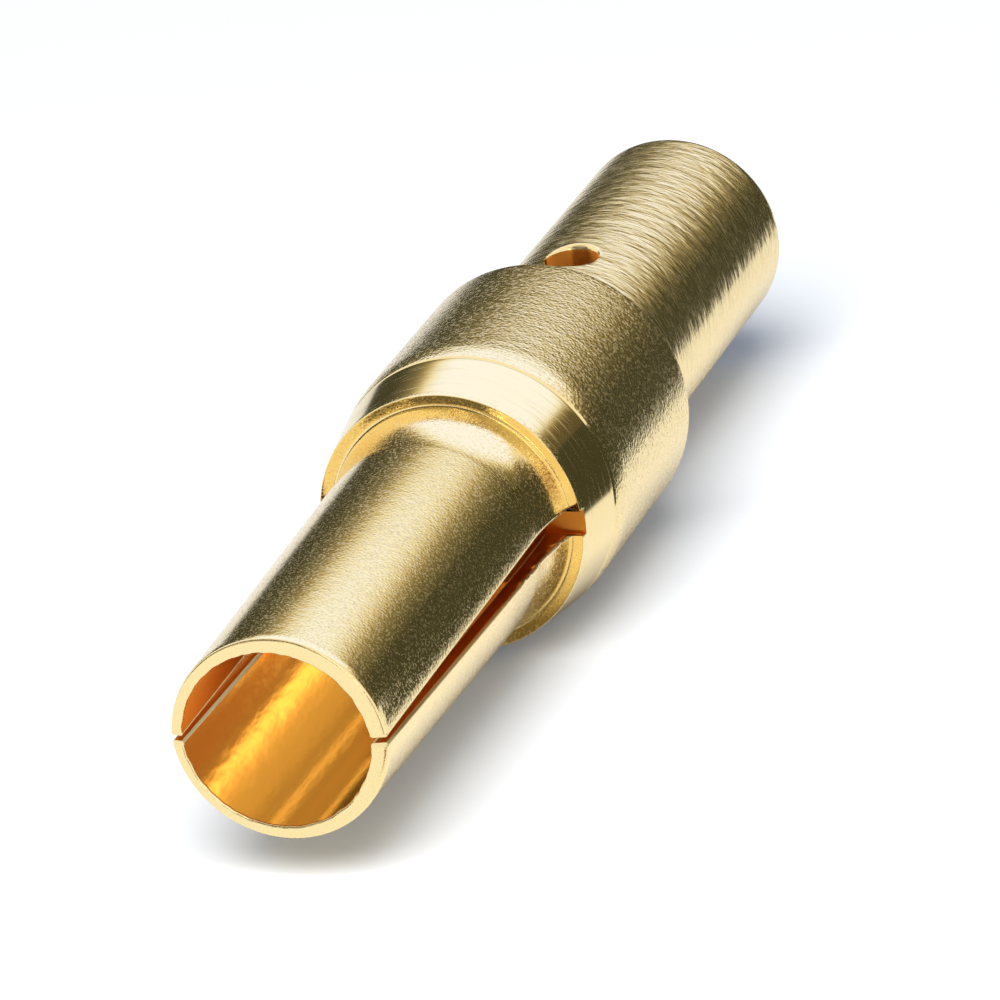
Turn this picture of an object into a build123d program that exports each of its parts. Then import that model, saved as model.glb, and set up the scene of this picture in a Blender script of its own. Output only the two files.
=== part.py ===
from build123d import *
import os
from math import radians, sqrt, tan

# Socket contact of a circular power connector: one piece, turned from brass bar, drilled from both
# ends, slit into two tines that are squeezed together at the mouth, cross-drilled and gold plated.
# It lies on its collar, slot level and inspection hole up. Millimetres.
# While it is modelled, its axis is +Y, the mouth is at y = 0 and the crimp end at y = TOTAL_LENGTH.

# Socket: two tines round the mating pin
PIN_D = 3.6
BORE_CLEARANCE = 0.04          # radial, before the tines are squeezed
MOUTH_CURL = 0.03              # how much tighter than the drilled bore the squeezed tines curl
MOUTH_WALL = 0.27
ROOT_WALL = 0.36
SLEEVE_LENGTH = 10.1           # mouth to the collar's front face
SOCKET_END_WALL = 1.35         # how far the drilled bore runs on past the collar's front face
MOUTH_BREAK = 0.05             # edge break round the mouth, outside and inside

# Slit that makes the two tines
SAW_WIDTH = 0.50
SAW_RUNOUT = 0.15              # how deep the saw runs into the collar
TIP_GAP = 0.10                 # what is left of the slit at the mouth
TIP_INSET = 0.115              # how far each tine's tip has moved in towards the other
SLIT_BREAK = 0.03              # edge break along the slit

# Collar
BLEND_RISE = 0.17              # root blend from the sleeve up to the flat front face
BLEND_RADIUS = 6.0
FACE_WIDTH = 0.28
CONE_RISE = 0.20
CONE_LENGTH = 1.5
CROWN_RISE = 0.05              # from the cone's end up to the full diameter
CROWN_LENGTH = 0.65
COLLAR_LENGTH = 6.5
GROOVE_WIDTH = 0.10            # tool mark where the cone ends
GROOVE_DEPTH = 0.03
COLLAR_BREAK = 0.08

# Crimp barrel
CRIMP_BORE_D = 3.3
CRIMP_WALL = 0.55
BARREL_LENGTH = 9.3
CRIMP_DEPTH = 7.7
CRIMP_COUNTERSINK = 0.25
END_RADIUS = 0.15
DRILL_ANGLE = 118.0

# Inspection hole, through one wall of the crimp barrel
HOLE_D = 1.1
HOLE_SETBACK = 2.32            # its centre, behind the collar
HOLE_BREAK = 0.1

# What follows from them
BORE_R = PIN_D / 2 + BORE_CLEARANCE
MOUTH_BORE_R = BORE_R - MOUTH_CURL
MOUTH_R = MOUTH_BORE_R + MOUTH_WALL
SLEEVE_R = BORE_R + ROOT_WALL
FACE_IN_R = SLEEVE_R + BLEND_RISE
FACE_OUT_R = FACE_IN_R + FACE_WIDTH
CONE_END_R = FACE_OUT_R + CONE_RISE
COLLAR_R = CONE_END_R + CROWN_RISE
CRIMP_R = CRIMP_BORE_D / 2
BARREL_R = CRIMP_R + CRIMP_WALL
BLEND_LENGTH = sqrt(2 * BLEND_RADIUS * BLEND_RISE - BLEND_RISE**2)

Y_ROOT = SLEEVE_LENGTH - BLEND_LENGTH          # where the tines hinge
Y_CONE_END = SLEEVE_LENGTH + CONE_LENGTH
Y_CROWN_END = Y_CONE_END + CROWN_LENGTH
Y_COLLAR_END = SLEEVE_LENGTH + COLLAR_LENGTH
TOTAL_LENGTH = Y_COLLAR_END + BARREL_LENGTH
SOCKET_DEPTH = SLEEVE_LENGTH + SOCKET_END_WALL
Y_CRIMP_END = TOTAL_LENGTH - CRIMP_DEPTH
Y_HOLE = Y_COLLAR_END + HOLE_SETBACK


def drill_point(radius):
    """Length of the cone that a drill of this radius leaves at the bottom of its hole."""
    return radius / tan(radians(DRILL_ANGLE / 2))


def turned_blank():
    """Collar and crimp barrel with the sleeve's root, solid, as turned: a profile round the axis."""
    groove = GROOVE_WIDTH / 2
    slope = CONE_RISE / CONE_LENGTH
    with BuildPart() as blank:
        with BuildSketch(Plane.YZ):
            with BuildLine():
                Line((Y_ROOT, 0), (Y_ROOT, SLEEVE_R))
                TangentArc((Y_ROOT, SLEEVE_R), (SLEEVE_LENGTH, FACE_IN_R), tangent=(1, 0))
                Polyline(
                    (SLEEVE_LENGTH, FACE_IN_R),
                    (SLEEVE_LENGTH, FACE_OUT_R),
                    (Y_CONE_END - groove, CONE_END_R - groove * slope),
                    (Y_CONE_END, CONE_END_R - GROOVE_DEPTH),
                    (Y_CONE_END + groove, CONE_END_R),
                )
                Spline(
                    (Y_CONE_END + groove, CONE_END_R),
                    (Y_CROWN_END, COLLAR_R),
                    tangents=[(CROWN_LENGTH, 2 * CROWN_RISE), (1, 0)],
                )
                Polyline(
                    (Y_CROWN_END, COLLAR_R),
                    (Y_COLLAR_END - COLLAR_BREAK, COLLAR_R),
                    (Y_COLLAR_END, COLLAR_R - COLLAR_BREAK),
                    (Y_COLLAR_END, BARREL_R),
                    (TOTAL_LENGTH - END_RADIUS, BARREL_R),
                )
                RadiusArc(
                    (TOTAL_LENGTH - END_RADIUS, BARREL_R),
                    (TOTAL_LENGTH, BARREL_R - END_RADIUS),
                    END_RADIUS,
                )
                Polyline((TOTAL_LENGTH, BARREL_R - END_RADIUS), (TOTAL_LENGTH, 0), (Y_ROOT, 0))
            make_face()
        revolve(axis=Axis.Y)
    return blank.part


def drilled_hole(y_mouth, y_bottom, radius):
    """A drilled blind hole with its pointed bottom, as the solid that is taken away."""
    way = 1 if y_bottom > y_mouth else -1
    with BuildPart() as hole:
        with BuildSketch(Plane.YZ):
            with BuildLine():
                Polyline(
                    (y_mouth, 0),
                    (y_mouth, radius),
                    (y_bottom, radius),
                    (y_bottom + way * drill_point(radius), 0),
                    close=True,
                )
            make_face()
        revolve(axis=Axis.Y)
    return hole.part


def crimp_bore():
    """The hole that takes the wire, its mouth countersunk."""
    with BuildPart() as countersink:
        with BuildSketch(Plane.YZ):
            with BuildLine():
                Polyline(
                    (TOTAL_LENGTH, 0),
                    (TOTAL_LENGTH, CRIMP_R + CRIMP_COUNTERSINK),
                    (TOTAL_LENGTH - CRIMP_COUNTERSINK, CRIMP_R),
                    (TOTAL_LENGTH - CRIMP_COUNTERSINK, 0),
                    close=True,
                )
            make_face()
        revolve(axis=Axis.Y)
    return drilled_hole(TOTAL_LENGTH, Y_CRIMP_END, CRIMP_R) + countersink.part


def tine_section(y, outer_r, inner_r, inset, gap):
    """Half ring across the axis: the upper tine's section, moved down towards the axis by inset,
    which leaves this gap between it and the lower one."""
    half_slit = gap / 2 + inset
    edge = half_slit + SLIT_BREAK
    out_x = sqrt(outer_r**2 - edge**2)
    in_x = sqrt(inner_r**2 - edge**2)
    cut_out_x = sqrt(outer_r**2 - half_slit**2) - SLIT_BREAK
    cut_in_x = sqrt(inner_r**2 - half_slit**2) + SLIT_BREAK
    with BuildSketch(Plane.XZ.offset(-y)) as section:
        with BuildLine():
            ThreePointArc((out_x, edge - inset), (0, outer_r - inset), (-out_x, edge - inset))
            Polyline(
                (-out_x, edge - inset),
                (-cut_out_x, half_slit - inset),
                (-cut_in_x, half_slit - inset),
                (-in_x, edge - inset),
            )
            ThreePointArc((-in_x, edge - inset), (0, inner_r - inset), (in_x, edge - inset))
            Polyline(
                (in_x, edge - inset),
                (cut_in_x, half_slit - inset),
                (cut_out_x, half_slit - inset),
                (out_x, edge - inset),
            )
        make_face()
    return section.sketch


def upper_tine():
    """One tine, hinged inwards at its root: straight rulings between three sections."""
    mouth = tine_section(0, MOUTH_R - MOUTH_BREAK, MOUTH_BORE_R + MOUTH_BREAK, TIP_INSET, TIP_GAP)
    inside_break = tine_section(MOUTH_BREAK, MOUTH_R, MOUTH_BORE_R, TIP_INSET, TIP_GAP)
    root = tine_section(Y_ROOT, SLEEVE_R, BORE_R, 0, SAW_WIDTH)
    return loft([mouth, inside_break, root], ruled=True)


def saw_cut():
    """The slit's end, through both walls of the sleeve's root and a little into the collar."""
    length = SLEEVE_LENGTH + SAW_RUNOUT - Y_ROOT
    return Pos(0, Y_ROOT + length / 2, 0) * Box(3 * COLLAR_R, length, SAW_WIDTH)


def inspection_hole():
    """Cross hole through the crimp barrel's upper wall, its edge broken."""
    drilled = Pos(0, Y_HOLE, BARREL_R / 2) * Cylinder(HOLE_D / 2, BARREL_R)
    countersink = Cone(HOLE_D / 2, HOLE_D / 2 + 2 * HOLE_BREAK, 2 * HOLE_BREAK)
    return drilled + Pos(0, Y_HOLE, BARREL_R) * countersink


def socket_contact():
    """The whole contact along +Y, mouth at y = 0."""
    body = turned_blank()
    body -= drilled_hole(Y_ROOT, SOCKET_DEPTH, BORE_R)
    body -= crimp_bore()
    body -= inspection_hole()
    body -= saw_cut()
    tine = upper_tine()
    return body + tine + mirror(tine, about=Plane.XY)


def lay_down(shape):
    """Origin on the floor under the middle of the length, the collar resting on the floor."""
    return Pos(0, -TOTAL_LENGTH / 2, COLLAR_R) * shape


os.makedirs("parts", exist_ok=True)
export_step(lay_down(socket_contact()), "parts/socket_contact.step")
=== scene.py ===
import bmesh
import bpy
import numpy as np
from mathutils import Matrix, Vector


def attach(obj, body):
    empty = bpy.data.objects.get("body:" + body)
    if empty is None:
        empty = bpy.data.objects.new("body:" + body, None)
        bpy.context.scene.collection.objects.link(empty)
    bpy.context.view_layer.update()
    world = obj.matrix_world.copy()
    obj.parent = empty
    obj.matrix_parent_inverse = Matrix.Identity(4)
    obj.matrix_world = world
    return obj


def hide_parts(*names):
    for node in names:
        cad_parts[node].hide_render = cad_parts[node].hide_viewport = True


# Looks of a gold-plated crimp socket contact that lies on a white table: a slit sleeve of two tines,
# a collar with a cone in front, and a crimp barrel with an inspection hole.

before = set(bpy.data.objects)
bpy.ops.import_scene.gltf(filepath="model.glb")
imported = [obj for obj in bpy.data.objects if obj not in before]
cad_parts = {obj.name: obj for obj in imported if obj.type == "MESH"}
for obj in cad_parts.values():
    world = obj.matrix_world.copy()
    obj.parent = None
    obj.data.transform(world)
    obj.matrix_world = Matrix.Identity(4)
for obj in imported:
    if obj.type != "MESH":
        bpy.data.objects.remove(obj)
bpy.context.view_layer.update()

# Sizes in millimetres, as the solid has them. Along the axis, y is 0 at the mouth.
MM = 0.001
LENGTH = 25.9
BORE_R = 1.84
MOUTH_BORE_R = 1.81
MOUTH_R = 2.08
SLEEVE_R = 2.20
MOUTH_BREAK = 0.05
Y_ROOT = 8.6815                # where the tines hinge
SLEEVE_LENGTH = 10.1
BLEND_RADIUS = 6.0
FACE_IN_R = 2.37               # of the collar's front face
FACE_OUT_R = 2.65
CONE_END_R = 2.85
Y_CONE_END = 11.6
GROOVE = 0.05                  # half the width of the tool mark where the cone ends
GROOVE_DEPTH = 0.03
COLLAR_R = 2.9
Y_CROWN_END = 12.25
Y_COLLAR_END = 16.6
COLLAR_BREAK = 0.08
BARREL_R = 2.2
END_RADIUS = 0.15
CRIMP_R = 1.65
COUNTERSINK = 0.25
Y_CRIMP_END = 18.2
SOCKET_DEPTH = 11.45
HALF_SLIT = 0.25               # at the root
TIP_HALF_GAP = 0.05            # and at the mouth
Y_SLIT_END = 10.25
TIP_INSET = 0.115              # how far each tine leans in at the mouth
HOLE_R = 0.55
HOLE_BREAK = 0.1
Y_HOLE = 18.92
DRILL_SLOPE = 0.6009           # depth of a 118 degree drill point per millimetre of radius
CONE_SLOPE = (CONE_END_R - FACE_OUT_R) / (Y_CONE_END - SLEEVE_LENGTH)
SLIT_END_R = FACE_OUT_R + (Y_SLIT_END - SLEEVE_LENGTH) * CONE_SLOPE

# Small faults of the real part, in millimetres
BORE_DRIFT = (-0.07, -0.025)   # how far the bore runs off centre at the mouth, along x and z
RAGGED_EDGE = 0.022            # how far the bore's edge at the mouth wanders
RAGGED_STEP = 0.06             # radians round the bore from one height of it to the next
RAGGED_DEPTH = 0.12            # how soon it dies away from the mouth inwards
LEFT_NARROWER = 0.09           # than the right slit, as the blade wandered
LEFT_RUNOUT = 0.8              # the last stretch, where the left slit gets its full width
SLIT_BREAK = 0.045             # along the slits, scraped wider than the solid's 0.03
SLIT_END_BREAK = 0.01          # what is left of it where they end in the cone
BREAK_RUNOUT = 0.1             # how far before the collar's face it starts to shrink
BLEND_STOP = 0.07              # how far before the face the root blend gives way to the fillet
FACE_FILLET = 0.063            # hollow where they meet
FACE_DISH = 0.12               # how much deeper the face was cut at its inner edge
DISH_RISE = 0.02               # how much the blend rises on its way down to that edge
FACE_EDGE = 0.02               # rounding of its outer edge
BURR_HEIGHT = 0.075            # of the saw's burrs on the lower tine's right edge
BURR_START = 6.3
BURR_PLACES = (BURR_START, 7.6, 9.6, 9.9)
BURR_SHARES = (0, 0.9, 1.6, 0)     # of that height at those places
BURR_STEPS = (0.16, 0.09)      # from one burr to the next
BURR_REACH = 0.25              # share of the wall, from outside, that they take up
BURR_CURL = 0.3                # how far they curl outwards, as a share of their height
BURR_CURL_REACH = 1 / 6        # and the share of the wall that curls

# How finely the surfaces are divided
TINE_STEPS = 76                # round one tine, from slit to slit
SHORT_STEP = 0.35              # the steps beside the slits, as a share of the others
GAP_STEPS = 8                  # across a slit
EDGE_STEPS = 3                 # round a broken edge
WALL_STEPS = 4                 # through the wall between two broken edges
ACROSS = 2 * EDGE_STEPS + WALL_STEPS
CURVE_STEPS = 4                # round a corner of a profile
PLAIN_ROWS = 38                # along the sleeve's front, which has no burrs
BURR_ROWS = 45                 # and from there to its root
BLEND_ROWS = 26
CROWN_STEPS = 6
SOCKET_STEPS = 8               # along the bore behind the slit
POINT_STEPS = 12               # down its drill point
OUTER_REACH = 0.85             # half the length of the patch that holds the hole, outside
INNER_REACH = 0.66             # and in the crimp bore
HOLE_ROWS_OUT = 20
HOLE_ROWS_IN = 16
HOLE_COLUMNS_OUT = 12          # each way from the top
HOLE_COLUMNS_IN = 14
SAME = 1e-6                    # places closer than this are one

# Finishes, in the order of the materials
# SHADED_CUT is for cut walls in hollows and in shade, coloured with painted shade and bounce light
SLEEVE, CONE, COLLAR, BARREL, SHADED_CUT, SOCKET, EDGE = range(7)

# For the mesh, in metres and degrees
SEAM = 2e-7                    # points closer than this are merged
SLIVER = 1e-8                  # edges shorter than this are dissolved
SHARP_ANGLE = 33               # an edge that bends more than this stays sharp


def in_frame(points):
    """Millimetres from the mouth, axis at height 0, to metres in the row frame."""
    return (points + np.array([0, -LENGTH / 2, COLLAR_R])) * MM


def quads(rows, columns, closed):
    """Faces between the neighbours of a grid; closed joins its last column to its first."""
    i, j = np.meshgrid(np.arange(rows - 1), np.arange(columns - (not closed)), indexing="ij")
    k = (j + 1) % columns
    return np.stack([i * columns + j, i * columns + k, (i + 1) * columns + k, (i + 1) * columns + j], -1)


def towards(start, goal, distance):
    """The point this far from start on the way to goal."""
    way = goal - start
    return start + way / np.linalg.norm(way) * distance


def rounded_profile(corners):
    """Samples a profile through corners (y, r, rounding, steps to the next corner). Each corner becomes
    the curve (1-t)^2 A + 2t(1-t) P + t^2 B, where A and B lie the rounding's length before and after P."""
    points = [np.array(corner[:2], float) for corner in corners]
    runs = []
    for n, (_, _, rounding, steps) in enumerate(corners):
        here = end = points[n]
        if rounding:
            start = towards(here, points[n - 1], rounding)
            end = towards(here, points[n + 1], rounding)
            t = np.linspace(0, 1, CURVE_STEPS + 1)[:, None]
            runs.append((1 - t) ** 2 * start + 2 * t * (1 - t) * here + t**2 * end)
        else:
            runs.append(here[None])
        if n + 1 < len(corners):
            after = towards(points[n + 1], here, corners[n + 1][2])
            t = np.linspace(0, 1, steps + 1)[1:-1, None]
            runs.append(end + (after - end) * t)
    return np.concatenate(runs)


def turned(profile, angles):
    """Revolves profile points (y, r) round the axis: (r cos a, y, r sin a)."""
    y, r = profile[:, :1], profile[:, 1:]
    return np.stack([r * np.cos(angles), y + 0 * angles, r * np.sin(angles)], -1)


def arc(radius, y, angles):
    """Points round the axis at y, with this radius at each angle: (r cos a, y, r sin a)."""
    return np.stack([radius * np.cos(angles), np.full(len(angles), y), radius * np.sin(angles)], 1)


def tine_angles(edge_angle):
    """Angles round a tine from slit to slit: even steps, but the first and last are short."""
    share = np.linspace(0, 1, TINE_STEPS + 1)
    share[1] *= SHORT_STEP
    share[-2] = 1 - share[1]
    return edge_angle + (np.pi - 2 * edge_angle) * share


def circle_angles(edge_angle):
    """Angles round the whole circle, from the upper edge of one slit: tine, slit, tine, slit."""
    tine = tine_angles(edge_angle)[:-1]
    gap = np.linspace(np.pi - edge_angle, np.pi + edge_angle, GAP_STEPS + 1)[:-1]
    half = np.concatenate([tine, gap])
    return np.concatenate([half, half + np.pi])


def tine_rows():
    """Rows along a tine: outer (y, r), inner (y, r), how far it leans in, half its slit measured before it
    leans, and its slit edge's break. From mouth to root all of them change in proportion to y. The root
    blend is a circle's arc, r = SLEEVE_R + R - sqrt(R^2 - (y - Y_ROOT)^2)."""
    plain = np.linspace(MOUTH_BREAK, BURR_START, PLAIN_ROWS)
    sleeve = np.concatenate([plain, np.linspace(BURR_START, Y_ROOT, BURR_ROWS)[1:]])
    sleeve_r = MOUTH_R + (SLEEVE_R - MOUTH_R) * sleeve / Y_ROOT
    blend = np.linspace(Y_ROOT, SLEEVE_LENGTH - BLEND_STOP, BLEND_ROWS)[1:-1]
    blend_r = SLEEVE_R + BLEND_RADIUS - np.sqrt(BLEND_RADIUS**2 - (blend - Y_ROOT) ** 2)
    face = rounded_profile([
        (blend[-1], blend_r[-1], 0, 1),
        (SLEEVE_LENGTH + FACE_DISH, FACE_IN_R + DISH_RISE, FACE_FILLET, 5),
        (SLEEVE_LENGTH, FACE_OUT_R, FACE_EDGE, 2),
        (Y_SLIT_END, SLIT_END_R, 0, 1),
    ])[1:]
    outer = np.concatenate([np.stack([sleeve, sleeve_r], 1), np.stack([blend, blend_r], 1), face])
    inner_y = np.concatenate([sleeve, blend, np.linspace(blend[-1], Y_SLIT_END, len(face) + 1)[1:]])
    share = np.clip(inner_y / Y_ROOT, 0, 1)
    inner = np.stack([inner_y, MOUTH_BORE_R + (BORE_R - MOUTH_BORE_R) * share], 1)
    lean = TIP_INSET * (1 - share)
    half_slit = (TIP_HALF_GAP + TIP_INSET) * (1 - share) + HALF_SLIT * share
    edge_break = np.interp(inner_y, [SLEEVE_LENGTH - BREAK_RUNOUT, Y_SLIT_END], [SLIT_BREAK, SLIT_END_BREAK])
    return outer, inner, lean, half_slit, edge_break


def slit_edge(radius, half_slit, edge_break, inward):
    """Across a broken edge between a round wall and the slit's face, as (x, z): a quarter ellipse.
    inward is 1 for the tine's outer wall and -1 for its bore."""
    t = np.linspace(0, np.pi / 2, EDGE_STEPS + 1)
    start_x = np.sqrt(radius**2 - (half_slit + edge_break) ** 2)
    end_x = np.sqrt(radius**2 - half_slit**2) - inward * edge_break
    x = end_x + (start_x - end_x) * np.cos(t)
    z = half_slit + edge_break * (1 - np.sin(t))
    return x, z


def slit_wall(outer_r, inner_r, half_slit, edge_break):
    """The slit's face from the outer wall to the bore, both edges broken, as (x, z) of each point."""
    out_x, out_z = slit_edge(outer_r, half_slit, edge_break, 1)
    in_x, in_z = slit_edge(inner_r, half_slit, edge_break, -1)
    x = np.concatenate([out_x, np.linspace(out_x[-1], in_x[-1], WALL_STEPS + 1)[1:-1], in_x[::-1]])
    z = np.concatenate([out_z, np.full(WALL_STEPS - 1, half_slit), in_z[::-1]])
    return x, z


def wander(seed, at, step):
    """A line that wanders between 0 and 1: random heights every step, joined smoothly by
    h0 + (h1 - h0) (3 s^2 - 2 s^3)."""
    heights = np.random.default_rng(seed).random(400)
    n = np.floor(at / step).astype(int)
    s = at / step - n
    return heights[n] + (heights[n + 1] - heights[n]) * (3 * s**2 - 2 * s**3)


def burrs(y):
    """Height of the saw's burrs at y: one wandering line times another, none in front and more towards
    the slit's end."""
    teeth = wander(11, y, BURR_STEPS[0]) * wander(12, y, BURR_STEPS[1])
    return BURR_HEIGHT * teeth * np.interp(y, BURR_PLACES, BURR_SHARES)


def tine_loops(lower):
    """Closed loops round a tine's section, one for each row: the outer wall, the left slit face, the bore
    and the right slit face. They are the upper tine's; the lower one's is a mirror image, with burrs."""
    loops = []
    for (yo, ro), (yi, ri), inset, half_slit, broken in zip(*tine_rows()):
        x, z = slit_wall(ro, ri, half_slit, broken)
        share = (x[0] - x) / (x[0] - x[-1])
        y = yo + (yi - yo) * share
        left, right = np.stack([-x, y, z], 1), np.stack([x, y, z], 1)

        along = min(yi / Y_ROOT, 1)
        left[:, 2] -= LEFT_NARROWER / 2 * along * np.clip((Y_SLIT_END - y) / LEFT_RUNOUT, 0, 1)
        if lower:
            right[:, 2] -= burrs(yo) * np.clip(1 - share / BURR_REACH, 0, 1)
            right[:, 0] += BURR_CURL * burrs(yo) * np.clip(1 - share / BURR_CURL_REACH, 0, 1)

        wall = arc(ro, yo, tine_angles(np.arcsin((half_slit + broken) / ro)))
        wall[0], wall[-1] = right[0], left[0]
        back = tine_angles(np.arcsin((half_slit + broken) / ri))[::-1]
        ragged = RAGGED_EDGE * (wander(5 + lower, back, RAGGED_STEP) - 0.5)
        ragged *= np.exp(-(yi - MOUTH_BREAK) / RAGGED_DEPTH)
        drift = np.array([BORE_DRIFT[0], 0, BORE_DRIFT[1] * (-1 if lower else 1)]) * (1 - along)
        drifted = share[:, None] * drift
        loop = np.concatenate([
            wall,
            (left + drifted)[1:-1],
            arc(ri + ragged, yi, back) + drift,
            (right + drifted)[::-1][1:-1],
        ])
        loop[:, 2] -= inset
        loops.append(loop)
    return np.array(loops)


def mouth_cap(loop):
    """Closes a tine at the mouth. Across the wall the points go from the outer wall to the bore, and their
    y is that of a quarter circle: break * (1 - sin a), at a distance of break * (1 - cos a) from the edge."""
    outer = loop[: TINE_STEPS + 1]
    left = loop[TINE_STEPS : TINE_STEPS + ACROSS + 1]
    inner = loop[TINE_STEPS + ACROSS : 2 * TINE_STEPS + ACROSS + 1][::-1]
    right = np.concatenate([loop[:1], loop[2 * TINE_STEPS + ACROSS :][::-1]])
    thickness = np.linalg.norm(outer - inner, axis=1)
    edge = MOUTH_BREAK * (1 - np.cos(np.linspace(0, np.pi / 2, EDGE_STEPS + 1)))
    middle = np.linspace(0, 1, WALL_STEPS + 1)[1:-1, None]
    depth = np.concatenate([
        edge[:, None] + 0 * thickness,
        MOUTH_BREAK + (thickness - 2 * MOUTH_BREAK) * middle,
        thickness - edge[::-1, None],
    ])
    w = (depth / thickness)[..., None]
    points = outer * (1 - w) + inner * w
    points[:, -1] = left
    points[:, 0] = right
    # Beside the slits the break takes up the first, short column
    column = np.arange(TINE_STEPS + 1)
    along = np.minimum(column, column[::-1]) * MOUTH_BREAK
    nearest = np.minimum(np.minimum(depth, thickness - depth), along[None])
    q = np.clip(nearest / MOUTH_BREAK, 0, 1)
    points[..., 1] = MOUTH_BREAK * (1 - np.sqrt(1 - (1 - q) ** 2))
    return points


def body_profile():
    """Profile from the slit's end over the cone, collar and barrel, round the rear edge and down the
    crimp bore to the drill point. The crown rises by 1 - (1 - s)^2 of its height."""
    end_break = END_RADIUS * 0.6
    corners = [
        (Y_SLIT_END, SLIT_END_R, 0, 12),
        (Y_CONE_END - GROOVE, CONE_END_R - GROOVE * CONE_SLOPE, 0.012, 2),
        (Y_CONE_END, CONE_END_R - GROOVE_DEPTH, 0.012, 2),
        (Y_CONE_END + GROOVE, CONE_END_R, 0.012, 1),
    ]
    crown_start = Y_CONE_END + GROOVE
    for s in np.linspace(0, 1, CROWN_STEPS + 1)[1:-1]:
        rise = (COLLAR_R - CONE_END_R) * (1 - (1 - s) ** 2)
        corners.append((crown_start + (Y_CROWN_END - crown_start) * s, CONE_END_R + rise, 0, 1))
    corners += [
        (Y_CROWN_END, COLLAR_R, 0, 24),
        (Y_COLLAR_END - COLLAR_BREAK, COLLAR_R, 0.03, 1),
        (Y_COLLAR_END, COLLAR_R - COLLAR_BREAK, 0.03, 4),
        (Y_COLLAR_END, BARREL_R, 0.02, 8),
        (Y_HOLE - OUTER_REACH, BARREL_R, 0, HOLE_ROWS_OUT),
        (Y_HOLE + OUTER_REACH, BARREL_R, 0, 34),
        (LENGTH - end_break, BARREL_R, end_break, 1),
        (LENGTH, BARREL_R - end_break, end_break, 1),
        (LENGTH, CRIMP_R + COUNTERSINK, 0.03, 3),
        (LENGTH - COUNTERSINK, CRIMP_R, 0.04, 36),
        (Y_HOLE + INNER_REACH, CRIMP_R, 0, HOLE_ROWS_IN),
        (Y_HOLE - INNER_REACH, CRIMP_R, 0, 1),
        (Y_CRIMP_END, CRIMP_R, 0, 10),
        (Y_CRIMP_END - CRIMP_R * DRILL_SLOPE, 0, 0, 0),
    ]
    return rounded_profile(corners)


def border(grid, first_row, last_row, columns):
    """The loop of points round a part of a grid, between two rows and the same number of columns each
    side of the top one."""
    top = TINE_STEPS // 2
    left, right = top - columns, top + columns
    step = 1 if last_row > first_row else -1
    down = np.arange(first_row, last_row, step)
    return np.concatenate([
        grid[first_row, left:right],
        grid[down, right],
        grid[last_row, np.arange(right, left, -1)],
        grid[down + step, left][::-1],
    ])


def inspection_hole(outer, inner):
    """Rings from the barrel's surface down through its wall into the crimp bore, and how many rows of
    faces are outside. At distance p from the hole's axis the surfaces stand at sqrt(R^2 - (p cos t)^2);
    the edge is broken by a 45 degree cone."""
    t = np.arctan2(outer[:, 1] - Y_HOLE, outer[:, 0])
    c2 = np.cos(t) ** 2
    a = BARREL_R - HOLE_BREAK - HOLE_R
    rim = (-a + np.sqrt(a**2 - (1 + c2) * (a**2 - BARREL_R**2))) / (1 + c2)

    def ring(p, z):
        return np.stack([p * np.cos(t), Y_HOLE + p * np.sin(t), z], 1)

    def on(radius, p):
        return ring(p, np.sqrt(radius**2 - (p * np.cos(t)) ** 2))

    def between(one, other, share, radius):
        mixed = one * (1 - share) + other * share
        mixed[:, 2] = np.sqrt(radius**2 - mixed[:, 0] ** 2)
        return mixed

    lip = on(BARREL_R, rim + 0.015)
    rings = [outer] + [between(outer, lip, s, BARREL_R) for s in (0.3, 0.55, 0.75, 0.9)] + [lip]
    chamfer_top = on(BARREL_R, rim)
    chamfer_end = ring(np.full(len(t), HOLE_R), np.full(len(t), BARREL_R - HOLE_BREAK))
    rings += [chamfer_top * (1 - s) + chamfer_end * s for s in (0.12, 0.5, 0.88)]
    outside = len(rings) - 1
    bottom = on(CRIMP_R, np.full(len(t), HOLE_R))
    rings += [chamfer_end * (1 - s) + bottom * s for s in (0.08, 0.35, 0.65, 1)]
    rings += [between(bottom, inner, s, CRIMP_R) for s in (0.1, 0.35, 0.65)] + [inner]
    return np.array(rings), outside


def socket_bottom():
    """Profile of the bore behind the slit's end, down to its drill point."""
    return rounded_profile([
        (Y_SLIT_END, BORE_R, 0, SOCKET_STEPS),
        (SOCKET_DEPTH, BORE_R, 0, POINT_STEPS),
        (SOCKET_DEPTH + BORE_R * DRILL_SLOPE, 0, 0, 0),
    ])


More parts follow.
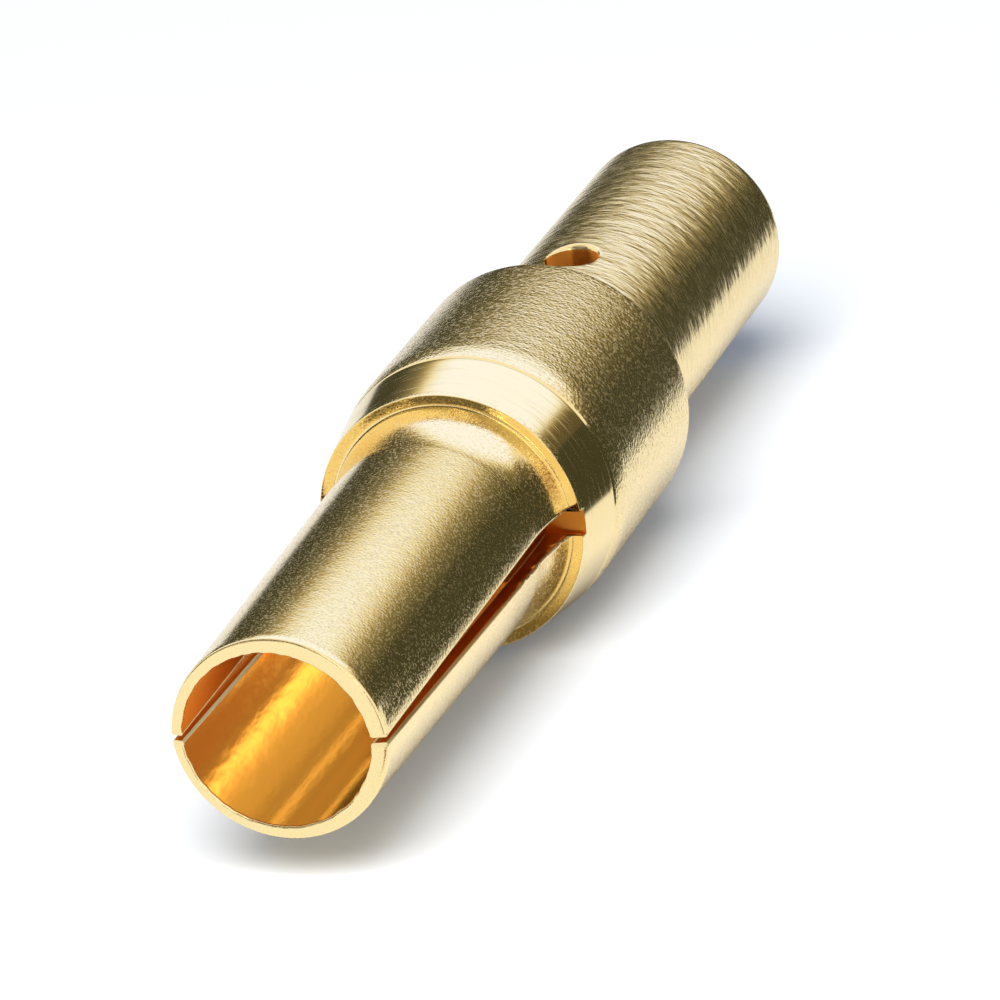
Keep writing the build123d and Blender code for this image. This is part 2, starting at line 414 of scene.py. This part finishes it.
def contact_mesh():
    """All surfaces of the contact, joined into one closed shell: points, faces and each face's finish."""
    sheets = []

    def add(points, closed, finish, keep=None):
        """A grid of points, its columns closed or not. finish is one for all, or for each row, column or
        face, and keep says which faces it has."""
        faces = quads(points.shape[0], points.shape[1], closed)
        finish = np.broadcast_to(finish, faces.shape[:2])
        if keep is None:
            keep = np.ones(faces.shape[:2], bool)
        sheets.append((points.reshape(-1, 3), faces[keep], finish[keep]))

    # The tines and their ends at the mouth. Only the lower half of the bore shows through the mouth; the
    # upper half gets the darker shaded finish, as painted shade.
    sawn = np.full(ACROSS, SHADED_CUT)
    sawn[:EDGE_STEPS] = sawn[-EDGE_STEPS:] = EDGE
    front = np.full(TINE_STEPS, SLEEVE)
    front[0] = front[-1] = EDGE
    for lower in (False, True):
        loops = tine_loops(lower)
        flip = np.array([1, 1, -1 if lower else 1])
        wall, bore = np.full(TINE_STEPS, SLEEVE), np.full(TINE_STEPS, SOCKET if lower else SHADED_CUT)
        add(loops * flip, True, np.concatenate([wall, sawn, bore, sawn]))
        add(mouth_cap(loops[0]) * flip, False, front)

    # The ends of both slits: flat, round the axis from one tine to the other, in the shaded finish with
    # painted shade and bounce light
    last = loops[-1]
    face = last[TINE_STEPS : TINE_STEPS + ACROSS + 1]
    radius = np.hypot(face[:, 0], face[:, 2])[:, None]
    reach = np.arcsin(face[:, 2:] / radius)
    swing = np.linspace(1, -1, GAP_STEPS + 1)
    for side in (1, -1):
        x = -side * radius * np.cos(reach * swing)
        add(np.stack([x, np.full(x.shape, Y_SLIT_END), radius * np.sin(reach * swing)], -1), False, SHADED_CUT)

    # Cone, collar, barrel and crimp bore, without the two patches that hold the inspection hole
    profile = body_profile()
    edge = np.arcsin(last[0, 2] / np.hypot(last[0, 0], last[0, 2]))
    body = turned(profile, circle_angles(edge))
    y, r = profile.T
    rear = int(np.argmax(y > LENGTH - SAME))

    def row(at, radius, after=0):
        found = np.flatnonzero((np.abs(y - at) < SAME) & (np.abs(r - radius) < SAME))
        return int(found[found >= after][0])

    out_rows = row(Y_HOLE - OUTER_REACH, BARREL_R), row(Y_HOLE + OUTER_REACH, BARREL_R)
    in_rows = row(Y_HOLE + INNER_REACH, CRIMP_R, rear), row(Y_HOLE - INNER_REACH, CRIMP_R, rear)
    keep = np.ones((body.shape[0] - 1, body.shape[1]), bool)
    top = TINE_STEPS // 2
    keep[out_rows[0] : out_rows[1], top - HOLE_COLUMNS_OUT : top + HOLE_COLUMNS_OUT] = False
    keep[in_rows[0] : in_rows[1], top - HOLE_COLUMNS_IN : top + HOLE_COLUMNS_IN] = False
    countersink = rear + 1 + CURVE_STEPS // 2      # the middle of its rounded edge
    # The crimp bore takes the shaded finish: painted shade and bounce light inside it
    zone = np.select(
        [np.arange(len(y)) > countersink, y > Y_COLLAR_END - SAME, y > Y_CONE_END + GROOVE - SAME],
        [SHADED_CUT, BARREL, COLLAR],
        CONE,
    )[:-1, None]
    add(body, True, zone, keep)

    outer_loop = border(body, out_rows[0], out_rows[1], HOLE_COLUMNS_OUT)
    inner_loop = border(body, in_rows[1], in_rows[0], HOLE_COLUMNS_IN)
    hole, outside = inspection_hole(outer_loop, inner_loop)
    # Inside the hole the shaded finish: painted shade and bounce light
    add(hole, True, np.where(np.arange(len(hole) - 1) < outside, BARREL, SHADED_CUT)[:, None])

    # Past its first steps the socket's deep end takes the shaded finish: painted shade and bounce light
    bottom = turned(socket_bottom(), circle_angles(np.arcsin(face[-1, 2] / BORE_R)))
    add(bottom, True, np.where(np.arange(len(bottom) - 1) < SOCKET_STEPS, SOCKET, SHADED_CUT)[:, None])

    points, faces, finish = zip(*sheets)
    offsets = np.cumsum([0] + [len(p) for p in points[:-1]])
    faces = np.concatenate([f + offset for f, offset in zip(faces, offsets)])
    return in_frame(np.concatenate(points)), faces, np.concatenate(finish)


def contact_piece(materials):
    """The contact as one object, its seams merged and its faces outwards."""
    points, faces, finish = contact_mesh()
    mesh = bpy.data.meshes.new("gold_contact")
    mesh.from_pydata(points, [], faces)
    for material in materials:
        mesh.materials.append(material)
    mesh.polygons.foreach_set("material_index", finish.astype(np.int32))
    mesh.polygons.foreach_set("use_smooth", np.ones(len(faces), bool))
    shell = bmesh.new()
    shell.from_mesh(mesh)
    bmesh.ops.remove_doubles(shell, verts=shell.verts, dist=SEAM)
    bmesh.ops.dissolve_degenerate(shell, edges=shell.edges, dist=SLIVER)
    bmesh.ops.recalc_face_normals(shell, faces=shell.faces)
    if shell.calc_volume(signed=True) < 0:
        bmesh.ops.reverse_faces(shell, faces=shell.faces)
    shell.to_mesh(mesh)
    shell.free()
    mesh.set_sharp_from_angle(angle=np.radians(SHARP_ANGLE))
    piece = bpy.data.objects.new("gold_contact", mesh)
    bpy.context.scene.collection.objects.link(piece)
    even = piece.modifiers.new("even_normals", "WEIGHTED_NORMAL")
    even.keep_sharp = True
    return piece


# Materials

def linear(hex_colour):
    """sRGB hex to the linear colour that Blender's sockets take."""
    c = np.array([int(hex_colour[i : i + 2], 16) for i in (1, 3, 5)]) / 255
    return tuple(np.where(c <= 0.04045, c / 12.92, ((c + 0.055) / 1.055) ** 2.4)) + (1.0,)


GOLD = linear("#fce4a7")       # plated gold, as it reflects white head-on
BOUNCE_TINTED_BORE_GOLD = linear("#ffaf42")  # deeper orange inside the socket: painted bounce light, for gold that reflects gold round the bore
SHADED_BOUNCE_GOLD = linear("#f29c3a")  # and deeper still on sawn walls, in the narrow holes and in shade: painted shade and bounce light
AXIAL = 0.25                   # a quarter turn, from round the axis to along it
SPECK_FADE = 0.08              # from a clean spot to a dull one, as a share of the noise
FEED_WAVE = (0.7, 0.25, 0.7)   # millimetres: waves that bend the feed marks
FEED_BEND = 2.5                # by how many pitches


def node(tree, kind, settings=None, values=None, links=None):
    """Adds a node: settings are its own properties, values and links are for its inputs by name or number."""
    made = tree.nodes.new(kind)
    for key, value in (settings or {}).items():
        setattr(made, key, value)
    for key, value in (values or {}).items():
        made.inputs[key].default_value = value
    for key, source in (links or {}).items():
        tree.links.new(source, made.inputs[key])
    return made


def empty_tree(owner):
    """The owner's node tree with nothing but its output."""
    owner.use_nodes = True
    for made in list(owner.node_tree.nodes):
        if not made.bl_idname.startswith("ShaderNodeOutput"):
            owner.node_tree.nodes.remove(made)
    return owner.node_tree


def per_mm(size_mm):
    """How often a pattern of this size in millimetres comes in a metre."""
    return 1000 / size_mm


def waves(tree, place, size_mm, detail=2.0):
    """Noise with waves of this size along x, y and z, in millimetres."""
    stretched = node(tree, "ShaderNodeMapping", values={"Scale": tuple(per_mm(size) for size in size_mm)},
                     links={"Vector": place})
    noise = node(tree, "ShaderNodeTexNoise", values={"Scale": 1.0, "Detail": detail, "Roughness": 0.6},
                 links={"Vector": stretched.outputs[0]})
    return noise.outputs["Fac"]


def pits(tree, place, size_mm):
    """Small cells with a point in each, the height being the distance from it."""
    return node(tree, "ShaderNodeTexVoronoi", values={"Scale": per_mm(size_mm)},
                links={"Vector": place}).outputs["Distance"]


def from_axis(tree, place):
    """A place as seen from the contact's axis, which lies as high as the collar's radius: p - axis."""
    return node(tree, "ShaderNodeVectorMath", {"operation": "SUBTRACT"}, {1: (0, 0, COLLAR_R * MM)},
                {0: place}).outputs[0]


def round_axis(tree, place):
    """Direction round the contact's axis: (p - axis) x Y."""
    return node(tree, "ShaderNodeVectorMath", {"operation": "CROSS_PRODUCT"}, {1: (0, 1, 0)},
                {0: from_axis(tree, place)}).outputs[0]


def groove_flanks(tree, place, slope):
    """Which way those flanks of the tool's marks look that face the mouth: (-(p - axis) / R, -slope)."""
    inwards = -1 / (BORE_R * MM)
    tilted = node(tree, "ShaderNodeVectorMath", {"operation": "MULTIPLY_ADD"},
                  {1: (inwards, 0, inwards), 2: (0, -slope, 0)}, {0: from_axis(tree, place)})
    return node(tree, "ShaderNodeVectorMath", {"operation": "NORMALIZE"},
                links={0: tilted.outputs[0]}).outputs[0]


def feed_marks(tree, place, pitch_mm):
    """Saw-tooth ridges round the axis that rise towards +Y: the fractional part of y / pitch + waves."""
    y = node(tree, "ShaderNodeSeparateXYZ", links={0: place}).outputs["Y"]
    bent = node(tree, "ShaderNodeMath", {"operation": "MULTIPLY"}, {1: FEED_BEND},
                {0: waves(tree, place, FEED_WAVE)})
    turns = node(tree, "ShaderNodeMath", {"operation": "MULTIPLY_ADD"}, {1: per_mm(pitch_mm)},
                 {0: y, 2: bent.outputs[0]})
    return node(tree, "ShaderNodeMath", {"operation": "FRACT"}, links={0: turns.outputs[0]}).outputs[0]


def plated(name, roughness, marks, colour=GOLD, specks=None, drawn_out=0.0, flank=None, feed=None):
    """Plated metal with this roughness. Each mark is a wave size (x, y, z) or a pit size, and its height, in
    millimetres. specks are dull spots: their size in millimetres, the noise where they begin and their
    roughness. drawn_out blurs reflections along the axis more than round it. flank is the slope of tool
    marks' flanks against the wall, where those that face the mouth make the look.
    feed is the pitch of a lathe's feed marks and their height, in millimetres."""
    material = bpy.data.materials.new(name)
    material.use_nodes = True
    tree = material.node_tree
    shader = tree.nodes["Principled BSDF"]
    shader.inputs["Base Color"].default_value = colour
    shader.inputs["Metallic"].default_value = 1
    shader.inputs["Roughness"].default_value = roughness
    place = node(tree, "ShaderNodeTexCoord").outputs["Object"]
    heights = []
    for size_mm, height_mm in marks:
        pattern = pits if isinstance(size_mm, float) else waves
        heights.append((pattern(tree, place, size_mm), height_mm))
    if feed:
        pitch_mm, height_mm = feed
        heights.append((feed_marks(tree, place, pitch_mm), height_mm))
    normal = {"Normal": groove_flanks(tree, place, flank)} if flank else {}
    for height, height_mm in heights:
        bump = node(tree, "ShaderNodeBump", values={"Distance": height_mm * MM},
                    links={"Height": height, **normal})
        normal = {"Normal": bump.outputs[0]}
    tree.links.new(normal["Normal"], shader.inputs["Normal"])
    if specks:
        size_mm, least, dull = specks
        dulled = node(tree, "ShaderNodeMapRange", values={
            "From Min": least, "From Max": least + SPECK_FADE, "To Min": roughness, "To Max": dull},
            links={"Value": waves(tree, place, size_mm, detail=1.0)})
        tree.links.new(dulled.outputs[0], shader.inputs["Roughness"])
    if drawn_out:
        shader.inputs["Anisotropic"].default_value = drawn_out
        shader.inputs["Anisotropic Rotation"].default_value = AXIAL
        tree.links.new(round_axis(tree, place), shader.inputs["Tangent"])
    return material


# A lathe's feed marks are some 0.05 mm apart here and tumbling leaves pits of 0.02 mm. Both are too fine to
# show, so they are drawn two to three times as coarse.
materials = [
    # Gold over tumbled brass: fine pits give a sandy grain where the reflection turns from light to dark
    plated("tumbled_gold", 0.1, [(0.06, 0.0012), ((0.3, 0.3, 0.3), 0.002)], specks=((0.05,) * 3, 0.53, 0.3)),
    # Gold over a cone cut with a sharp tool: the smoothest part, with faint lines round it
    plated("fine_turned_gold", 0.11, [((1.6, 0.05, 1.6), 0.0006)], specks=((0.9, 0.05, 0.9), 0.58, 0.24)),
    # Gold over a tumbled collar: coarser pits than on the sleeve, so its highlight is duller
    plated("coarse_tumbled_gold", 0.15, [(0.07, 0.004), ((0.5, 0.36, 0.5), 0.005)],
           specks=((0.08,) * 3, 0.53, 0.34), feed=(0.11, 0.0022)),
    # Gold over a roughly turned barrel: short tool marks round it, light and dark side by side
    plated("rough_turned_gold", 0.16, [((0.35, 0.06, 0.35), 0.003)],
           specks=((0.3, 0.05, 0.3), 0.52, 0.3), feed=(0.14, 0.0078)),
    # Gold on sawn and narrow drilled walls, dull, its colour deepened by painted shade and bounce light: tool
    # marks run round them and draw the light out
    plated("shaded_sawn_gold", 0.46, [((1.5, 0.08, 1.5), 0.004)], SHADED_BOUNCE_GOLD, drawn_out=1.0),
    # Gold in the socket's bore, its deeper orange painted bounce light: feed grooves whose flanks face the
    # mouth show what lies before it in stripes
    plated("bounce_tinted_drilled_gold", 0.16, [((0.28, 0.9, 0.28), 0.004)], BOUNCE_TINTED_BORE_GOLD, flank=2.1),
    # Gold on the slits' broken edges, scraped from the root to the mouth: steps that face the mouth, so that
    # the edges show as pale lines
    plated("scraped_gold", 0.3, [((0.1, 0.1, 0.1), 0.002)], flank=5.0),
]

contact = contact_piece(materials)
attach(contact, "root")
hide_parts("socket_contact")


# Camera, as the photograph's: long lens, 21 degrees above the table, rolled a little
camera_data = bpy.data.cameras.new("camera")
camera_data.sensor_width = 36
camera_data.lens = 262.8
camera = bpy.data.objects.new("camera", camera_data)
bpy.context.scene.collection.objects.link(camera)
right, up, back = (0.94607, 0.29962, -0.12319), (0.0, 0.38027, 0.92488), (0.32396, -0.87500, 0.35976)
turn = Matrix((right, up, back)).transposed()
camera.matrix_world = Matrix.Translation(Vector((46.19, -124.745, 53.513)) * MM) @ turn.to_4x4()
camera_data.clip_start = 0.01
camera_data.clip_end = 10
bpy.context.scene.camera = camera


# Table and light, in metres
TABLE_HALF = 1.5
TABLE_MATT = 0.8               # share of the light that it reflects
TABLE_GLOW = 0.12              # what it adds for the camera alone, which keeps the shadow light and cool
TABLE_TINT = (0.78, 0.95, 1.2, 1)
FILL = 0.2                     # light from all round on what is matt
FILL_TINT = (0.8, 0.94, 1.16, 1)
KEY_PLACE = (0.065, -0.36, 0.48)
KEY_SIZE = 0.42
KEY_POWER = 5.58
BACK_Y, BACK_HALF, BACK_SLANT = 0.5, 0.9, 0.066
WING_Y, WING_LEFT = 0.48, 0.36
SIDE_TOP = 0.0065
FRONT_Y, FRONT_HALF, FRONT_TOP = -0.35, 0.7, 0.4
CARD_NEAR_Y, CARD_FAR_Y, CARD_Z = -0.0175, -0.052, 0.0001
UPWARDS, RIGHTWARDS = (0, 0, 1), (1, 0, 0)

# Light that the metal shows
BOARD_LIGHT = 3.0              # so that a ramp's colours stay under 1
DARK = (0.057, 0.058, 0.035)
UPPER_DARK = (0.15, 0.15, 0.16)
BROWN = (0.38, 0.22, 0.18)
UMBER = (0.28, 0.2, 0.17)


def flat_sheet(name, corners, material):
    """A flat four-cornered sheet that is no part of the contact."""
    mesh = bpy.data.meshes.new(name)
    mesh.from_pydata(corners, [], [(0, 1, 2, 3)])
    mesh.materials.append(material)
    sheet = bpy.data.objects.new(name, mesh)
    bpy.context.scene.collection.objects.link(sheet)
    return sheet


def white_table():
    """Matt white, and glowing a little for the camera alone."""
    material = bpy.data.materials.new("white_table")
    tree = empty_tree(material)
    matt = node(tree, "ShaderNodeBsdfDiffuse", values={"Color": (TABLE_MATT, TABLE_MATT, TABLE_MATT, 1)})
    seen = node(tree, "ShaderNodeMath", {"operation": "MULTIPLY"}, {1: TABLE_GLOW},
                {0: node(tree, "ShaderNodeLightPath").outputs["Is Camera Ray"]})
    glow = node(tree, "ShaderNodeEmission", values={"Color": TABLE_TINT}, links={"Strength": seen.outputs[0]})
    both = node(tree, "ShaderNodeAddShader", links={0: matt.outputs[0], 1: glow.outputs[0]})
    tree.links.new(both.outputs[0], tree.nodes["Material Output"].inputs["Surface"])
    material.cycles.emission_sampling = "NONE"
    return material


def before_matt(tree):
    """1 on the way from the camera until it meets something matt, then 0."""
    return node(tree, "ShaderNodeMath", {"operation": "LESS_THAN"}, {1: 0.5},
                {0: node(tree, "ShaderNodeLightPath").outputs["Diffuse Depth"]}).outputs[0]


def board_finish(name, way, low, high, stops):
    """A glow that changes with the distance along way, from low to high: stops are shares of that distance,
    with the colour there."""
    material = bpy.data.materials.new(name)
    tree = empty_tree(material)
    place = node(tree, "ShaderNodeTexCoord").outputs["Object"]
    along = node(tree, "ShaderNodeVectorMath", {"operation": "DOT_PRODUCT"}, {1: way}, {0: place})
    share = node(tree, "ShaderNodeMapRange", values={"From Min": low, "From Max": high},
                 links={"Value": along.outputs["Value"]})
    ramp = node(tree, "ShaderNodeValToRGB", links={"Fac": share.outputs[0]})
    while len(ramp.color_ramp.elements) < len(stops):
        ramp.color_ramp.elements.new(0.5)
    for element, (at, colour) in zip(ramp.color_ramp.elements, stops):
        element.position, element.color = at, (*(c / BOARD_LIGHT for c in colour), 1)
    level = node(tree, "ShaderNodeMath", {"operation": "MULTIPLY"}, {1: BOARD_LIGHT}, {0: before_matt(tree)})
    glow = node(tree, "ShaderNodeEmission", links={"Color": ramp.outputs[0], "Strength": level.outputs[0]})
    tree.links.new(glow.outputs[0], tree.nodes["Material Output"].inputs["Surface"])
    material.cycles.emission_sampling = "NONE"
    return material


def board(name, corners, stops, way=UPWARDS, low=0, high=1):
    """A glowing sheet that only the metal shows. stops are places along way, from low to high, with the
    colour there."""
    shares = [((at - low) / (high - low), colour) for at, colour in stops]
    sheet = flat_sheet(name, corners, board_finish(name, way, low, high, shares))
    sheet.visible_camera = False
    sheet.visible_diffuse = False
    sheet.visible_shadow = False


def upright(left, right, y, low, high):
    """Corners of an upright rectangle across y."""
    return [(left, y, low), (right, y, low), (right, y, high), (left, y, high)]


def plain(colour):
    """Stops for a board that has one colour."""
    return [(0, colour), (1, colour)]


def height_at(degrees):
    """Height at the back for this angle above the contact."""
    return BACK_Y * np.tan(np.radians(degrees))


def by_height(light):
    """Stops by degrees above the contact to stops by height."""
    return [(height_at(degrees), colour) for degrees, colour in light]


table_corners = [(x * TABLE_HALF, y * TABLE_HALF, 0) for x, y in ((-1, -1), (1, -1), (1, 1), (-1, 1))]
flat_sheet("table", table_corners, white_table())

# Behind the contact: what the tops of all round parts show, white above, gold-brown and dark below.
# Its light is lower on the right than on the left.
back_top = height_at(60)
back_light = [                 # degrees up from the contact, colour there
    (6, DARK), (13, (0.06, 0.058, 0.034)), (19, (0.1, 0.095, 0.055)), (23, (0.155, 0.142, 0.078)),
    (26, (0.235, 0.2, 0.105)), (27.8, (0.345, 0.285, 0.15)), (29.1, (0.53, 0.435, 0.23)),
    (30.1, (0.74, 0.64, 0.4)), (31.2, (0.89, 0.87, 0.7)), (32.6, (0.98, 1.07, 1.2)), (36, (1.03, 1.18, 1.8))]
board("back_board", upright(-BACK_HALF, BACK_HALF, BACK_Y, 0, back_top), by_height(back_light),
      (BACK_SLANT, 0, 1), 0, back_top)

# Just before its right part: the right flanks stay dark farther up
wing_light = [
    (0, (0.1, 0.085, 0.048)), (26, (0.12, 0.1, 0.055)), (30, (0.3, 0.24, 0.12)), (34, (0.95, 0.9, 0.8))]
board("wing_board", upright(WING_LEFT, BACK_HALF, WING_Y, 0, back_top), by_height(wing_light), high=back_top)

# Low beside the contact: hides the white table from the collar's and barrel's right side
near, far = (0.0078, -0.004), (0.0095, 0.06)
board("side_board", [(*near, 0), (*far, 0), (*far, SIDE_TOP), (*near, SIDE_TOP)], plain(DARK))

# Before the mouth: stripes of light and dark that run down the bore
front_light = [                # metres to the right, colour there
    (-0.7, DARK), (-0.32, (0.12, 0.11, 0.08)), (-0.285, (0.2, 0.18, 0.14)),
    (-0.275, (1.6, 1.6, 1.5)), (-0.262, (1.6, 1.6, 1.5)),
    (-0.25, (0.3, 0.27, 0.21)), (-0.22, (0.42, 0.38, 0.3)), (-0.16, (0.52, 0.46, 0.38)),
    (-0.12, (0.4, 0.36, 0.3)), (-0.088, (0.42, 0.39, 0.34)),
    (-0.08, (1.5, 1.5, 1.4)), (-0.068, (1.5, 1.5, 1.4)),
    (-0.06, (0.45, 0.42, 0.36)), (-0.04, (0.4, 0.38, 0.33)), (-0.01, (0.52, 0.5, 0.44)),
    (0.02, (0.72, 0.7, 0.64)), (0.05, (0.64, 0.63, 0.58)), (0.085, (0.85, 0.83, 0.78)),
    (0.1, (0.78, 0.76, 0.7)), (0.112, (2.6, 2.6, 2.4)), (0.144, (2.6, 2.6, 2.4)),
    (0.156, (0.8, 0.8, 0.8)), (0.175, (0.7, 0.7, 0.7)), (0.2, (1.0, 1.0, 1.0)), (0.7, (1.0, 1.0, 1.0))]
board("front_board", upright(-FRONT_HALF, FRONT_HALF, FRONT_Y, 0, FRONT_TOP), front_light,
      RIGHTWARDS, -FRONT_HALF, FRONT_HALF)

# Farther up there: the top of the collar's face shows it dark
board("upper_board", upright(-0.9, 0.08, FRONT_Y + 0.002, 0.22, 1.2), plain(UPPER_DARK))

# On the table before the mouth, one flat and one upright: the bore's left wall shows them brown
card = [(0.0006, CARD_NEAR_Y), (0.009, CARD_FAR_Y), (0.019, CARD_FAR_Y), (0.0035, CARD_NEAR_Y)]
board("brown_card", [(*corner, CARD_Z) for corner in card], plain(BROWN))
board("umber_board", upright(0.01, 0.028, -0.055, 0, 0.0048), plain(UMBER))

# From the front right and above, for the table: the metal doesn't show it
key_data = bpy.data.lights.new("key", "AREA")
key_data.shape = "RECTANGLE"
key_data.size = key_data.size_y = KEY_SIZE
key_data.energy = KEY_POWER
key = bpy.data.objects.new("key", key_data)
bpy.context.scene.collection.objects.link(key)
key.location = KEY_PLACE
key.rotation_euler = (-Vector(KEY_PLACE)).to_track_quat("-Z", "Y").to_euler()
key.visible_camera = False
key.visible_glossy = False

# White all round for the camera and the metal, and a weak cool fill for what is matt
world = bpy.data.worlds.new("studio")
bpy.context.scene.world = world
world.cycles.sampling_method = "NONE"
tree = empty_tree(world)
path = node(tree, "ShaderNodeLightPath")
shown = node(tree, "ShaderNodeMath", {"operation": "ADD"}, links={
    0: path.outputs["Is Camera Ray"], 1: path.outputs["Is Glossy Ray"]})
shown = node(tree, "ShaderNodeMath", {"operation": "MULTIPLY"}, links={
    0: shown.outputs[0], 1: before_matt(tree)})
fill = node(tree, "ShaderNodeBackground", values={"Color": FILL_TINT, "Strength": FILL})
white = node(tree, "ShaderNodeBackground", values={"Color": (1, 1, 1, 1), "Strength": 1.0})
mixed = node(tree, "ShaderNodeMixShader", links={
    0: shown.outputs[0], 1: fill.outputs[0], 2: white.outputs[0]})
tree.links.new(mixed.outputs[0], tree.nodes["World Output"].inputs["Surface"])
bpy.context.scene.view_settings.view_transform = "Standard"
